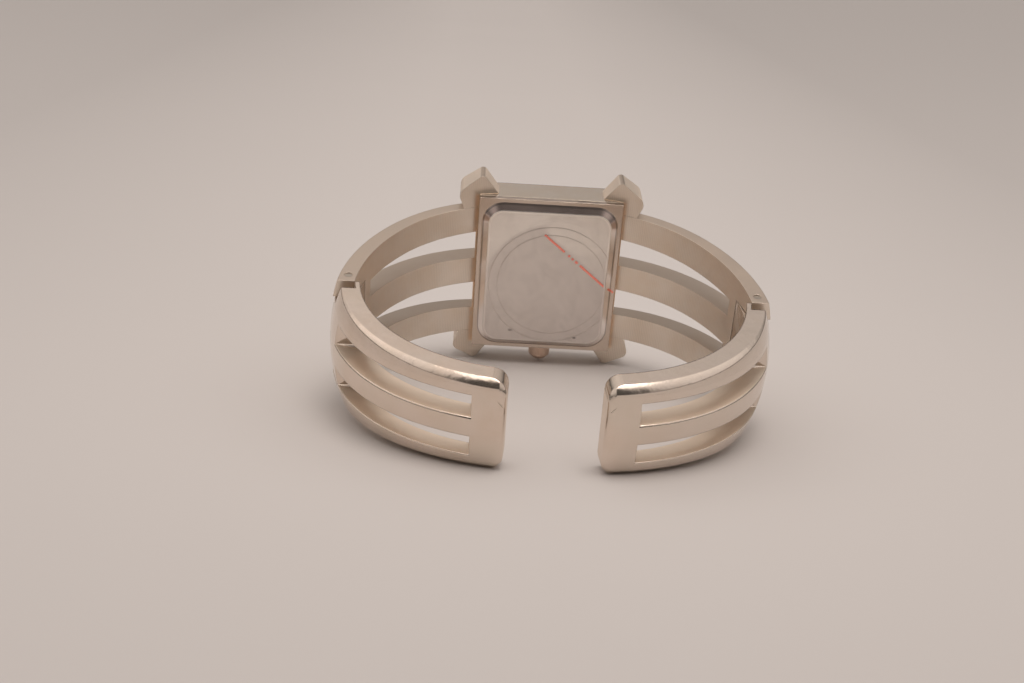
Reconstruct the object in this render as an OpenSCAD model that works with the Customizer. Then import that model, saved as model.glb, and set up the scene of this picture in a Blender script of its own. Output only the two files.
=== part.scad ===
// Bangle watch: a rectangular watch head held by two openwork wings,
// with a sprung, hinged arm on each side that closes round the wrist.
// +X is to the wearer's side with the right arm, +Y is out through the dial,
// +Z is along the bangle's axis, away from the crown.
// The origin is the middle of the whole watch.

/* [Watch head] */
// width of the case, side to side
case_w = 21.8; // [20.8:0.2:23]
// height of the case, along the bangle's axis
case_h = 25.3; // [24.4:0.1:26.2]
// thickness of the case body, without its back
case_t = 6.0; // [5.8:0.1:6.4]
// thickness of the case's side walls
case_wall = 2.2; // [2:0.05:2.3]
// thickness of the flange of the press-fit back
back_flange_t = 1.0; // [0.8:0.1:1.0]
// height of the raised field on the back
back_field_rise = 0.8; // [0.5:0.1:1.0]
// plain rim left around the raised field
back_rim = 0.56; // [0.4:0.02:0.8]
// width of the slope between rim and raised field
back_slope = 1.06; // [0.8:0.02:1.2]
// radius of the ring engraved on the back
ring_r = 9.87; // [8.5:0.01:9.9]
// diameter of the crown
crown_d = 3.34; // [3:0.02:3.4]
// length of the crown
crown_len = 2.7; // [2.6:0.05:3]
// depth of the crown's axis behind the case's back edge
crown_depth = 1.0; // [0.95:0.05:1.1]

/* [Dial and hands] */
// thickness of the crystal
crystal_t = 1.4; // [1.2:0.1:1.5]
// thickness of the dial plate
dial_t = 0.35; // [0.3:0.05:0.4]
// length of the minute hand from its axis
minute_len = 7.4; // [6.5:0.1:7.8]
// length of the hour hand from its axis
hour_len = 5.2; // [4.5:0.1:5.8]

/* [Wings] */
// radius of the inner face of a wing beside the case
wing_r1 = 21.7; // [21.4:0.1:22]
// radius of the inner face of a wing beside the hinge
wing_r2 = 28.95; // [28.6:0.05:29.2]
// thickness of a wing at its middle height
wing_t = 3.5; // [3.3:0.1:3.7]
// radius of the crowned outer face, across a wing
wing_dome_r = 33; // [28:1:45]
// half height of the band at the hinge gap
band_half_h = 8.4; // [8.2:0.1:8.8]
// rise of the band's edge per millimetre towards the head
band_slope = 0.094; // [0.085:0.001:0.1]
// half height of the middle bar
mid_bar_half_h = 2.15; // [1.9:0.05:2.3]
// height where the upper bar starts beside the case
upper_bar_z = 6.13; // [5.9:0.01:6.4]
// distance of a lug's tip from the watch's middle plane
lug_tip_x = 10.4; // [10.2:0.1:10.8]
// height of a lug's tip
lug_tip_z = 15.8; // [15.4:0.1:16.2]
// distance of a lug's outer corner from the middle plane
lug_out_x = 14.15; // [13.7:0.05:14.3]
// height of a lug's outer corner
lug_out_z = 13.2; // [13:0.1:13.6]

/* [Arms] */
// radius of the inner face of an arm beside the hinge
arm_r1 = 20.51; // [20.3:0.01:20.7]
// thickness of an arm at its middle height
arm_t = 4.05; // [3.8:0.05:4.2]
// radius of the crowned outer face, across an arm
arm_dome_r = 24; // [22:1:30]
// angle between an arm's end face and the cross direction
arm_end_deg = 85; // [83:0.5:86]
// distance of a slot's end from the middle plane
slot_end_x = 10.75; // [10.25:0.25:12]
// fall of an arm's edge per millimetre towards its free end
arm_slope = 0.079; // [0.075:0.001:0.09]
// half height of the arm's middle bar at its end
arm_mid_half_h = 1.44; // [1.3:0.02:1.6]
// height of the upper edge of the upper slot at its end
arm_slot_top = 4.41; // [4.25:0.02:4.55]
// angle by which a slot's walls open towards the inner face
slot_draft = 9; // [4:1:12]
// radius of the corners of an arm's free end
arm_corner_r = 1.9; // [1.2:0.1:2.2]

/* [Hinges] */
// radius of a hinge pin
pin_r = 0.55; // [0.5:0.01:0.6]
// half height of the arm's tongue between the two knuckles
tongue_half_h = 5.78; // [5.5:0.02:5.9]
// gap between the tongue and a knuckle
tongue_gap = 0.1; // [0.08:0.01:0.15]
// radius of the tongue's rounded end about the pin
tongue_r = 4.4; // [4.2:0.1:4.5]
// wire radius of the closing spring
spring_wire_r = 0.12; // [0.1:0.01:0.13]

/* [Hidden] */
$fn = 64;

// room inside the case, and the gap left round what is fitted there
cavity_w = case_w - 2 * case_wall;
cavity_h = case_h - 2 * case_wall;
fit_gap = 0.1;

// outline of the back's lip, which presses into the case
lip_w = cavity_w + 1.2;
lip_h = cavity_h + 1.2;

// levels along Y, from the wrist side to the front, before centring
back_y = 18.1;
field_y = back_y - back_field_rise;
case_y0 = back_y + back_flange_t;
front_y = case_y0 + case_t;
crown_y = case_y0 + crown_depth;
plate_y0 = 19.4;
plate_y1 = 21.15;
dial_y0 = plate_y1;
dial_y1 = dial_y0 + dial_t;
crystal_y0 = front_y - 0.2 - crystal_t;
hour_y = dial_y1 + 0.4;
minute_y = hour_y + 0.45;

// plan curves of the right side: each wing and arm is two arcs that meet without a corner
wing_c1 = [4.44, -1.44];
wing_join_deg = 38;
wing_c2 = wing_c1 + (wing_r1 - wing_r2) * [cos(wing_join_deg), sin(wing_join_deg)];
arm_c1 = [6.46, -1.73];
arm_join_deg = -59.3;
arm_r2 = arm_r1 + 5.05;
arm_c2 = arm_c1 + (arm_r1 - arm_r2) * [cos(arm_join_deg), sin(arm_join_deg)];

// the second arc of each pair is a hair thicker and overlaps the first, so they fuse
arc_step = 0.01;
arc_lap = 0.5;

// width of the bevel on an arm's edge at the hinge
edge_bevel = 0.12;
// radius of the rounded shoulder under that edge, and its centre's depth below it
shoulder_r = 2.9;
shoulder_drop = 2.6;
// radius across the corner of an arm's free end, and how far the corner stays under the edge
corner_round = 1.8;
corner_step = 0.03;

// hinge
pin_x = 28.6;
pin_y = -1.95;
wing_end_y = -3.6;
shoulder_y = -5.4;
gap_end_y = 3.8;
slot_back_y = -9.6;
slot_ref_y = -26;
slot_rise = 0.0175;
pocket_r = 1.02;
pocket_z = 2.6;
spring_r = 0.8;
spring_turns = 7;

// the arm's outermost point is on the rounding of its end
end_round = 1.2;
end_round_deg = arm_end_deg - atan2(end_round, arm_r2 + arm_t - end_round);
tip_y = arm_c2[1] - (arm_r2 + arm_t - end_round) * sin(end_round_deg) - end_round;
mid_y = (front_y + tip_y) / 2;

// half height of the wings and of the arms at a given level along Y
function edge_z(y) = band_half_h + band_slope * (y - wing_end_y);
function arm_edge_z(y) = band_half_h + arm_slope * (y - wing_end_y);

steel = [0.80, 0.76, 0.71];
brass = [0.82, 0.68, 0.38];

// Puts a piece drawn in plan coordinates into the centred frame.
module centred() {
  translate([0, -mid_y, 0]) children();
}

// The mirror twin of a right-hand piece.
module side(s) {
  if (s > 0) children();
  else mirror([1, 0, 0]) children();
}

// A plate between two levels along Y, from a drawing in X and Z.
module slab(y0, y1) {
  translate([0, y1, 0]) rotate([90, 0, 0]) linear_extrude(y1 - y0) children();
}

// A bar from x0 to x1 whose section is drawn in Y and Z.
module along_x(x0, x1) {
  translate([x0, 0, 0]) rotate([90, 0, 90]) linear_extrude(x1 - x0) children();
}

// A round bar along Y.
module rod_y(r, y0, y1, x = 0, z = 0) {
  translate([x, y1, z]) rotate([90, 0, 0]) cylinder(r = r, h = y1 - y0);
}

// A rectangle with round corners, centred.
module round_rect(w, h, r) {
  square([w - 2 * r, h], center = true);
  square([w, h - 2 * r], center = true);
  for (x = [-1, 1], y = [-1, 1]) translate([x * (w / 2 - r), y * (h / 2 - r)]) circle(r);
}

// A convex outline with a rounding at each corner: points and their radii.
module round_poly(p, r) {
  n = len(p);
  u = [for (i = [0 : n - 1]) unit(p[(i + n - 1) % n] - p[i])];
  v = [for (i = [0 : n - 1]) unit(p[(i + 1) % n] - p[i])];
  half = [for (i = [0 : n - 1]) acos(u[i] * v[i]) / 2];
  polygon([for (i = [0 : n - 1], k = [0, 1]) p[i] + (k == 0 ? u[i] : v[i]) * (r[i] / tan(half[i]))]);
  for (i = [0 : n - 1]) if (r[i] > 0)
    translate(p[i] + unit(u[i] + v[i]) * (r[i] / sin(half[i]))) circle(r[i]);
}
function unit(a) = a / norm(a);

// A raised rectangular field with round corners and sloping sides.
// w and h are its foot, b the slope's width, t its height towards -Y.
module bevel_field(w, h, r, b, t, y) {
  along_x(-(w / 2 - r), w / 2 - r)
    polygon([[y, -h / 2], [y - t, -h / 2 + b], [y - t, h / 2 - b], [y, h / 2]]);
  translate([0, 0, -(h / 2 - r)]) linear_extrude(h - 2 * r)
    polygon([[-w / 2, y], [-w / 2 + b, y - t], [w / 2 - b, y - t], [w / 2, y]]);
  for (x = [-1, 1], z = [-1, 1]) translate([x * (w / 2 - r), y, z * (h / 2 - r)])
    rotate([90, 0, 0]) cylinder(r1 = r, r2 = r - b, h = t);
}

// One arc of the band: a crowned section swept round a vertical axis.
module band_arc(c, r, t, dome, a0, a1, hh) {
  translate([c[0], c[1], 0]) rotate([0, 0, a0]) rotate_extrude(angle = a1 - a0, $fn = 180)
    intersection() {
      translate([r, -hh]) square([t, 2 * hh]);
      translate([r + t - dome, 0]) circle(dome, $fn = 360);
    }
}

// The space under the arm's bevelled edge: the arm's own arc drawn square to
// the sloping edge, with a rounded shoulder. Mirrored for the lower edge.
module edge_space(c, r, a0, a1, low) {
  // thickness of the crowned section at the hinge's edge, less the bevel there
  e = arm_t - pow(band_half_h, 2) / (2 * arm_dome_r) - edge_bevel;
  // the shoulder's arc starts at the edge's plane and ends outside the crown
  across = sqrt(pow(shoulder_r, 2) - pow(shoulder_drop, 2));
  mirror([0, 0, low])
    translate([0, wing_end_y, band_half_h]) rotate([atan(arm_slope), 0, 0]) translate([0, -wing_end_y, 0])
      translate([c[0], c[1], 0]) rotate([0, 0, a0 - 6]) rotate_extrude(angle = a1 - a0 + 12, $fn = 180) {
        intersection() {
          translate([r, -2.1]) square([6, 2.1]);
          translate([r + e - across, -shoulder_drop]) circle(shoulder_r, $fn = 180);
        }
        translate([r - 5, -24]) square([e - across + 5.2, 24]);
        translate([r - 5, -24]) square([17, 22]);
      }
}

// One arc of an arm with both its edges bevelled.
module arm_arc(c, r, t, a0, a1) {
  intersection() {
    band_arc(c, r, t, arm_dome_r, a0, a1, 12);
    edge_space(c, r, a0, a1, 0);
    edge_space(c, r, a0, a1, 1);
  }
}

// Case

module case_body() centred() color(steel) {
  difference() {
    union() {
      slab(case_y0, front_y - 0.7) square([case_w, case_h], center = true);
      // the front frame slopes in all round
      intersection() {
        along_x(-case_w / 2, case_w / 2)
          polygon([[front_y - 0.7, -case_h / 2], [front_y, -case_h / 2 + 0.5],
            [front_y, case_h / 2 - 0.5], [front_y - 0.7, case_h / 2]]);
        translate([0, 0, -case_h / 2]) linear_extrude(case_h)
          polygon([[-case_w / 2, front_y - 0.7], [-case_w / 2 + 0.5, front_y],
            [case_w / 2 - 0.5, front_y], [case_w / 2, front_y - 0.7]]);
      }
    }
    // room for the back's lip
    slab(case_y0 - 1, case_y0 + 0.75) round_rect(lip_w + fit_gap, lip_h + fit_gap, 1.8);
    // room for the movement and the dial
    slab(case_y0 - 1, dial_y1) round_rect(cavity_w, cavity_h, 1.2);
    // opening over the dial, with sloping sides
    slab(dial_y1 - 0.01, front_y + 1) round_rect(cavity_w - 1.4, cavity_h - 1.4, 0.8);
    // seat of the crystal and its gasket
    slab(crystal_y0 - 0.25, front_y + 1) round_rect(cavity_w + 1.0, cavity_h + 1.0, 1.2);
    // hole for the stem and a sink for the crown
    translate([0, crown_y, -case_h / 2 - 1]) cylinder(r = 0.55, h = 5, $fn = 32);
    translate([0, crown_y, -case_h / 2 - 1]) cylinder(r = 1.02, h = 2.5, $fn = 48);
  }
}

module case_back() centred() color([0.84, 0.80, 0.75]) {
  w = case_w - 2 * back_rim;
  h = case_h - 2 * back_rim;
  difference() {
    union() {
      slab(back_y, case_y0) square([case_w, case_h], center = true);
      bevel_field(w, h, 3.3, back_slope, back_field_rise, back_y);
      slab(case_y0 - 0.1, case_y0 + 0.6) round_rect(lip_w, lip_h, 1.7);
    }
    // hollow inside the field and the lip
    slab(field_y + 0.55, case_y0 + 1) round_rect(lip_w - 1.0, lip_h - 1.0, 1.2);
    // seat of the gasket, round the lip
    slab(case_y0 - 0.3, case_y0 + 0.01) difference() {
      round_rect(lip_w + 1.4, lip_h + 1.4, 2.1);
      round_rect(lip_w, lip_h, 1.7);
    }
    // gap in the lip for the stem
    translate([-1.3, case_y0, -case_h / 2]) cube([2.6, 2, 4]);
    // two fine rings engraved on the field, off its middle
    intersection() {
      slab(field_y - 1, field_y + 0.05) difference() {
        translate([0.9, -1.0]) circle(ring_r, $fn = 128);
        translate([0.9, -1.0]) circle(ring_r - 0.14, $fn = 128);
      }
      slab(field_y - 1, field_y + 1) round_rect(w - 2 * back_slope - 0.1, h - 2 * back_slope - 0.1, 2.2);
    }
    slab(field_y - 1, field_y + 0.04) difference() {
      translate([0.9, -1.0]) circle(ring_r - 1.35, $fn = 128);
      translate([0.9, -1.0]) circle(ring_r - 1.45, $fn = 128);
    }
    // opening notch at the rim, for the blade that lifts the back
    translate([4, case_y0 - 0.3, case_h / 2 - 0.4]) cube([3, 0.4, 1]);
  }
}

module back_gasket() centred() color([0.12, 0.12, 0.13]) {
  slab(case_y0 - 0.28, case_y0) difference() {
    round_rect(lip_w + 1.4 - fit_gap, lip_h + 1.4 - fit_gap, 2.05);
    round_rect(lip_w + fit_gap, lip_h + fit_gap, 1.75);
  }
}

module protective_film() centred() color([0.86, 0.82, 0.78, 0.5]) {
  w = case_w - 2 * back_rim - 2 * back_slope;
  h = case_h - 2 * back_rim - 2 * back_slope;
  slab(field_y - 0.06, field_y - 0.01) round_rect(w - 0.5, h - 0.5, 2.1);
}

module crystal() centred() color([0.9, 0.95, 0.97, 0.35]) {
  w = cavity_w + 0.2;
  h = cavity_h + 0.2;
  slab(crystal_y0, crystal_y0 + crystal_t - 0.2) round_rect(w, h, 0.8);
  // polished slope round the front
  intersection() {
    along_x(-w / 2, w / 2)
      polygon([[crystal_y0 + crystal_t - 0.21, -h / 2], [crystal_y0 + crystal_t, -h / 2 + 0.3],
        [crystal_y0 + crystal_t, h / 2 - 0.3], [crystal_y0 + crystal_t - 0.21, h / 2]]);
    translate([0, 0, -h / 2]) linear_extrude(h)
      polygon([[-w / 2, crystal_y0 + crystal_t - 0.21], [-w / 2 + 0.3, crystal_y0 + crystal_t],
        [w / 2 - 0.3, crystal_y0 + crystal_t], [w / 2, crystal_y0 + crystal_t - 0.21]]);
    slab(crystal_y0, front_y) round_rect(w, h, 0.8);
  }
}

module crystal_gasket() centred() color([0.92, 0.92, 0.9]) {
  difference() {
    slab(crystal_y0 - 0.25, crystal_y0 + crystal_t - 0.3) round_rect(cavity_w + 1.0, cavity_h + 1.0, 1.2);
    slab(crystal_y0, front_y) round_rect(cavity_w + 0.2, cavity_h + 0.2, 0.8);
    slab(crystal_y0 - 1, front_y) round_rect(cavity_w - 1.0, cavity_h - 1.0, 0.6);
  }
}

// Dial and hands

module dial() centred() color([0.94, 0.93, 0.90]) {
  difference() {
    slab(dial_y0, dial_y1) round_rect(cavity_w - fit_gap, cavity_h - fit_gap, 1.1);
    rod_y(0.95, dial_y0 - 1, dial_y1 + 1);
    // minute track, a fine rectangle of grooves
    slab(dial_y1 - 0.04, dial_y1 + 1) difference() {
      round_rect(13.4, 16.9, 0.6);
      round_rect(13.2, 16.7, 0.5);
    }
  }
}

// Turns a piece drawn along +Z to an angle on the dial, clockwise from twelve.
// Twelve is on the left wing's side, so that the crown is at three.
module dial_angle(a) {
  rotate([0, -90 - a, 0]) children();
}

module hour_markers() centred() color([0.78, 0.78, 0.80]) {
  for (i = [0 : 11]) {
    a = i * 30;
    // the baton sits where its hour line meets a rectangle
    k = min(6.9 / max(0.01, abs(cos(a))), 8.7 / max(0.01, abs(sin(a))));
    len = i % 3 == 0 ? 1.9 : 1.2;
    dial_angle(a) translate([-0.22, dial_y1, k - 0.3 - len]) cube([0.44, 0.14, len]);
  }
}

// A slender pointed hand with a hub, drawn along +Z.
module hand(len, w, hub, hole, y) {
  slab(y, y + 0.15) difference() {
    union() {
      polygon([[-w / 2, -1.6], [w / 2, -1.6], [w * 0.7, len * 0.55], [0, len], [-w * 0.7, len * 0.55]]);
      circle(hub);
    }
    circle(hole);
  }
}

module hour_hand() centred() color([0.16, 0.16, 0.18]) dial_angle(305)
  hand(hour_len, 0.7, 0.95, 0.62, hour_y);

module minute_hand() centred() color([0.16, 0.16, 0.18]) dial_angle(60)
  hand(minute_len, 0.55, 0.7, 0.3, minute_y);

// Movement

// A wheel with plain trapezoid teeth: n teeth, module m, first tooth turned by a.
module wheel(n, m, y0, y1, a, hole) {
  ro = m * n / 2 + 0.85 * m;
  ri = m * n / 2 - 1.1 * m;
  q = 360 / n;
  slab(y0, y1) difference() {
    polygon([for (i = [0 : n - 1], k = [[-0.30, ri], [-0.12, ro], [0.12, ro], [0.30, ri]])
      k[1] * [cos(a + (i + k[0]) * q), sin(a + (i + k[0]) * q)]]);
    if (hole > 0) circle(hole);
  }
}

// places of the train, in X and Z
minute_wheel_at = [0, -2.0];
inter_deg = 50;
inter_at = 2.925 * [cos(inter_deg), sin(inter_deg)];
rotor_deg = -10;
rotor_at = inter_at + 2.21 * [cos(rotor_deg), sin(rotor_deg)];

bridge_screw_at = [[2.6, -7.4], [2.2, 7.9]];
clamp_at = [-6.4, 0.6];

// the movement's main plate, its cell, its coil and its circuit board
plate_w = 15.2;
plate_h = 17.8;
cell_r = 3.4;
cell_at = [-4.0, 5.2];
coil_at = [6.35, 1.86];
coil_r = 0.55;
coil_len = 8.6;
board_w = 5.3;
board_h = 7.1;
board_at = [-4.2, -4.2];
// where the stem ends, inside the plate
stem_end_z = -5.35;

module at(p) {
  translate([p[0], 0, p[1]]) children();
}

module cannon_pinion() centred() color(brass) {
  // a tube that carries the minute hand
  difference() {
    union() {
      rod_y(0.3, 20.42, minute_y + 0.2);
      wheel(10, 0.1, 20.75, 20.92, -90, 0);
    }
    rod_y(0.16, 20.3, minute_y + 1);
  }
}

module centre_wheel() centred() color(brass) {
  wheel(72, 0.075, 20.0, 20.12, inter_deg, 0.1);
  rod_y(0.16, 19.32, minute_y + 0.15);
}

module minute_wheel() centred() color(brass) at(minute_wheel_at) {
  difference() {
    union() {
      wheel(30, 0.1, 20.76, 20.9, 96, 0);
      wheel(8, 0.1, 20.9, 21.1, 112.5, 0);
    }
    rod_y(0.21, 20, 22);
  }
}

module hour_wheel() centred() color(brass) {
  difference() {
    union() {
      wheel(32, 0.1, 20.97, 21.1, -90, 0);
      rod_y(0.62, 20.98, hour_y + 0.12);
    }
    rod_y(0.36, 20, hour_y + 1);
  }
}

module intermediate_wheel() centred() color(brass) at(inter_at) {
  wheel(60, 0.065, 19.5, 19.62, rotor_deg, 0.1);
  wheel(6, 0.075, 19.62, 20.25, inter_deg + 180 + 30, 0.1);
  rod_y(0.12, 19.3, 20.45);
}

module rotor() centred() color([0.45, 0.45, 0.47]) at(rotor_at) {
  wheel(8, 0.065, 19.47, 19.7, rotor_deg + 180 + 22.5, 0.08);
  rod_y(0.1, 19.3, 20.45);
  rod_y(0.5, 19.85, 20.25);
}

module movement_holder() centred() color([0.93, 0.93, 0.92]) {
  difference() {
    slab(18.95, plate_y1) round_rect(cavity_w - 2 * fit_gap, cavity_h - 2 * fit_gap, 1.1);
    slab(18, 22) round_rect(plate_w + fit_gap, plate_h + fit_gap, 0.8);
    // channel of the stem
    translate([-0.9, 18, -case_h / 2]) cube([1.8, crown_y + 0.9 - 18, (case_h - plate_h) / 2 + 1]);
  }
}

module main_plate() centred() color([0.75, 0.74, 0.72]) {
  difference() {
    slab(plate_y0, plate_y1) round_rect(plate_w, plate_h, 0.8);
    // wells for the cell, the train, the coil and the board
    at(cell_at) rod_y(cell_r + fit_gap, 18, 20.45);
    rod_y(3.0, 18, 20.4);
    at(inter_at) rod_y(2.2, 18, 20.4);
    slab(18, 20.4) translate(coil_at - [1.25, 0]) square([4.6, coil_len + 3.8], center = true);
    slab(18, 20.4) translate(board_at) square([board_w + 0.3, board_h + 0.3], center = true);
    // channel of the stem and its pinion
    translate([0, crown_y, -10]) cylinder(r = 0.42, h = 5.4, $fn = 32);
    translate([0, crown_y, -6.2]) cylinder(r = 0.85, h = 2.2, $fn = 32);
    slab(18, crown_y) translate([-0.42, -9.5]) square([0.84, 5.2]);
    slab(18, crown_y) translate([-0.85, -6.2]) square([1.7, 2.2]);
    // well of the motion work, seen from the dial side
    rod_y(1.8, 20.7, 22);
    at(minute_wheel_at) rod_y(1.7, 20.7, 22);
    // pivots
    rod_y(0.33, 20, 22);
    at(inter_at) rod_y(0.14, 20, 20.5);
    at(rotor_at) rod_y(0.12, 20, 20.5);
  }
  // post that the minute wheel turns on, and the stator's seats
  at(minute_wheel_at) rod_y(0.18, 20.65, 21.12);
  for (z = [-1, 1]) rod_y(0.35, 20.22, 20.5, 4.2, coil_at[1] + z * (coil_len / 2 + 1));
}

module train_bridge() centred() color([0.78, 0.76, 0.72]) {
  difference() {
    slab(18.95, plate_y0) intersection() {
      union() {
        translate([1.2, 1.1]) circle(4.2);
        translate([3.7, -5.0]) round_rect(4.4, 6.4, 0.6);
        translate([2.7, 6.2]) round_rect(3.0, 4.8, 0.6);
        translate([3.2, 0]) square([3, 8], center = true);
      }
      difference() {
        round_rect(plate_w, plate_h, 0.8);
        translate(cell_at) circle(cell_r + 0.15);
      }
    }
    rod_y(0.18, 19.25, 20);
    at(inter_at) rod_y(0.14, 19.2, 20);
    at(rotor_at) rod_y(0.12, 19.2, 20);
    for (p = bridge_screw_at) at(p) rod_y(0.3, 18, 20);
  }
}

module stator() centred() color([0.66, 0.67, 0.69]) {
  difference() {
    slab(19.98, 20.22) difference() {
      union() {
        translate([4.2, coil_at[1]]) square([1.9, coil_len + 3], center = true);
        for (z = [-1, 1]) translate([5.3, coil_at[1] + z * (coil_len / 2 + 1.05)])
          square([3.4, 0.9], center = true);
      }
      translate(rotor_at) circle(0.62);
      // the two notches that set the rotor's rest
      translate(rotor_at + [0.6, 0]) circle(0.12, $fn = 24);
      translate(rotor_at - [0.6, 0]) circle(0.12, $fn = 24);
    }
  }
}

module coil_core() centred() color([0.6, 0.6, 0.62]) {
  slab(19.72, 19.96) translate(coil_at) square([0.9, coil_len + 0.3], center = true);
  for (z = [-1, 1]) slab(19.72, 19.98) translate(coil_at + [-0.2, z * (coil_len / 2 + 0.8)])
    square([1.5, 1.4], center = true);
}

module coil() centred() color([0.72, 0.40, 0.20]) {
  difference() {
    translate([coil_at[0], 19.84, coil_at[1] - coil_len / 2]) cylinder(r = coil_r, h = coil_len, $fn = 48);
    slab(19.71, 19.97) translate(coil_at) square([0.92, coil_len + 1.4], center = true);
  }
}

module circuit_board() centred() color([0.12, 0.35, 0.22]) {
  slab(20.15, 20.4) difference() {
    translate(board_at) round_rect(board_w, board_h, 0.3);
    translate([-5.9, -7.0]) circle(0.3);
  }
  // moulded chip
  slab(19.6, 20.15) translate([-3.2, -2.4]) square([1.6, 1.4], center = true);
}

module quartz_can() centred() color([0.82, 0.82, 0.84]) {
  translate([-5.4, 19.68, -6.4]) cylinder(r = 0.47, h = 4.6, $fn = 48);
}

module battery() centred() color([0.80, 0.80, 0.82]) {
  at(cell_at) rod_y(cell_r, 18.45, 20.2);
  at(cell_at) rod_y(cell_r - 0.5, 18.3, 20.45);
}

module battery_clamp() centred() color(brass) difference() {
  union() {
    slab(18.1, 18.3) {
      translate([-6.4, 3.0]) round_rect(1.2, 6.2, 0.3);
      translate([-4.7, 5.2]) round_rect(4.6, 1.2, 0.3);
    }
    slab(18.1, plate_y0) translate(clamp_at) round_rect(1.2, 1.3, 0.3);
  }
  at(clamp_at) rod_y(0.3, 18, 20);
}

module bridge_screws() centred() color([0.70, 0.72, 0.76]) {
  // each screw: its place and the level under its head
  for (q = [[bridge_screw_at[0], 18.95], [bridge_screw_at[1], 18.95], [clamp_at, 18.1]]) difference() {
    union() {
      at(q[0]) rod_y(0.5, q[1] - 0.2, q[1]);
      at(q[0]) rod_y(0.28, q[1] - 0.05, plate_y0);
    }
    at(q[0]) slab(q[1] - 0.3, q[1] - 0.12) square([1.2, 0.14], center = true);
  }
}

// Crown and stem

module stem() centred() color([0.62, 0.63, 0.66]) {
  translate([0, crown_y, -case_h / 2 - 0.9]) cylinder(r = 0.38, h = case_h / 2 + 0.9 + stem_end_z, $fn = 32);
  translate([0, crown_y, stem_end_z - 0.01]) cylinder(r = 0.25, h = 0.9, $fn = 32);
}

module setting_pinion() centred() color([0.66, 0.66, 0.68]) translate([0, crown_y, stem_end_z + 0.05])
  linear_extrude(0.7) difference() {
    polygon([for (i = [0 : 11], k = [[-0.32, 0.55], [-0.14, 0.75], [0.14, 0.75], [0.32, 0.55]])
      k[1] * [cos((i + k[0]) * 30), sin((i + k[0]) * 30)]]);
    circle(0.25, $fn = 32);
  }

module crown() centred() color([0.78, 0.70, 0.60]) {
  z0 = -case_h / 2 - 0.15;
  teeth = 40;
  root = 0.96;
  dome_h = 1.0;
  dome_r = 1.75;
  difference() {
    translate([0, crown_y, z0]) mirror([0, 0, 1]) union() {
      // fluted barrel
      linear_extrude(crown_len - dome_h)
        polygon([for (i = [0 : teeth - 1], k = [[-0.28, 1], [0.28, 1], [0.42, root], [0.58, root]])
          k[1] * crown_d / 2 * [cos((i + k[0]) * 360 / teeth), sin((i + k[0]) * 360 / teeth)]]);
      // domed end
      translate([0, 0, crown_len - dome_h]) rotate_extrude() intersection() {
        square([crown_d / 2 * root, dome_h]);
        translate([0, dome_h - dome_r]) circle(dome_r, $fn = 128);
      }
      // neck that goes into the case
      translate([0, 0, -1.55]) cylinder(r = 0.92, h = 1.6, $fn = 48);
    }
    // bore for the stem and groove of the seal
    translate([0, crown_y, -case_h / 2 - 0.9]) cylinder(r = 0.38, h = 3, $fn = 32);
    translate([0, crown_y, -case_h / 2]) cylinder(r = 0.62, h = 2, $fn = 48);
  }
}

module crown_gasket() centred() color([0.1, 0.1, 0.1])
  translate([0, crown_y, -case_h / 2 + 0.17]) rotate_extrude($fn = 48)
    translate([0.5, 0]) circle(0.1, $fn = 24);

// Wings and arms

module wing_gap(up) {
  // the gap is cut along the direction halfway round the wing
  d = wing_join_deg;
  mirror([0, 0, up ? 0 : 1]) intersection() {
    rotate([0, 0, -(90 - d)]) translate([0, 60, 0]) rotate([90, 0, 0]) linear_extrude(90)
      polygon([[-12, mid_bar_half_h - 0.1], [18.1, mid_bar_half_h + 0.14], [24, mid_bar_half_h + 0.18],
        [24, 4.13], [18.1, 4.56], [-3.4, upper_bar_z], [-12, upper_bar_z + 0.63]]);
    translate([case_w / 2 + 0.3, gap_end_y, 0]) cube([30, 40, 20]);
  }
}

module lug(up) {
  // the lug is a strap across the corner, flush inside with the wing
  mirror([0, 0, up ? 0 : 1]) slab(16, 23.3)
    round_poly([[case_w / 2 - 2.9, case_h / 2], [lug_tip_x, lug_tip_z], [lug_out_x, lug_out_z],
      [lug_out_x - 1.15, edge_z(18) - 0.3], [case_w / 2, edge_z(18) - 0.3]], [0, 0.7, 1.4, 0, 0]);
}

module wing(s) {
  side(s) difference() {
    union() {
      intersection() {
        union() {
          band_arc(wing_c1, wing_r1, wing_t, wing_dome_r, wing_join_deg, 84, 16);
          band_arc(wing_c2, wing_r2 - arc_step, wing_t + 2 * arc_step, wing_dome_r,
            -8, wing_join_deg + arc_lap, 16);
        }
        along_x(0, 40) polygon([[wing_end_y, -edge_z(wing_end_y)], [30, -edge_z(30)],
          [30, edge_z(30)], [wing_end_y, edge_z(wing_end_y)]]);
      }
      for (up = [true, false]) difference() {
        lug(up);
        translate([wing_c1[0], wing_c1[1], -20]) cylinder(r = wing_r1 + 0.05, h = 40, $fn = 180);
      }
    }
    // the case fills the middle
    translate([-1, 10, -case_h / 2]) cube([case_w / 2 + 1, 20, case_h]);
    wing_gap(true);
    wing_gap(false);
    // slot between the knuckles
    translate([20, -12, -tongue_half_h - tongue_gap])
      cube([20, 12 + pin_y, 2 * (tongue_half_h + tongue_gap)]);
    translate([pin_x, pin_y, -tongue_half_h - tongue_gap])
      cylinder(r = tongue_r + tongue_gap, h = 2 * (tongue_half_h + tongue_gap), $fn = 96);
    // bore of the pin
    translate([pin_x, pin_y, -12]) cylinder(r = pin_r, h = 24, $fn = 48);
    // hole for the spring's upper leg
    translate([pin_x, pin_y + spring_r, tongue_half_h]) cylinder(r = spring_wire_r + 0.03, h = 0.9, $fn = 24);
  }
}

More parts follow.
